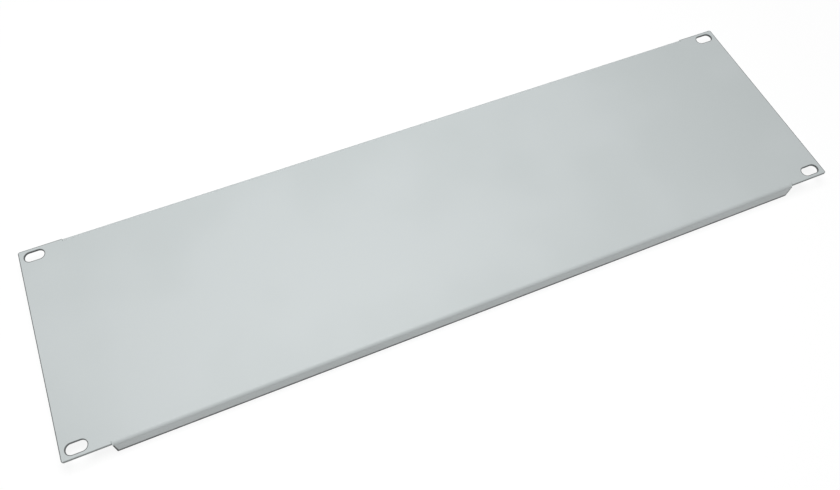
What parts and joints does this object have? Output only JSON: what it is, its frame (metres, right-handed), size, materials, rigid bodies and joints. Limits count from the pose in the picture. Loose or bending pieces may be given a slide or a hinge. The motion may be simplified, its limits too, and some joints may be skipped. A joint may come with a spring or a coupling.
{
  "type": "rack blanking panel",
  "caption": "Flat folded sheet-steel panel that closes an empty stretch of a 19-inch rack, with a flange folded back along each long edge and a mounting slot near each corner.",
  "frame": {"origin": "centre of the slot pattern, on the plane of the ears' backs, where the panel meets the rack's rails", "axes": "+X along the panel's width, +Y towards the edge that is upper when it is fitted, +Z out of its painted front face. The panel lies face up on the edges of its two flanges; fitted in a rack, +Z points to the front and +Y up."},
  "size_m": [0.4826, 0.1324, 0.012],
  "materials": {
    "light_grey_powder_coat": "satin, fine-grained powder coat in a cool light grey"
  },
  "bodies": {
    "root": {"blanking_panel": "light_grey_powder_coat"}
  },
  "joints": []
}
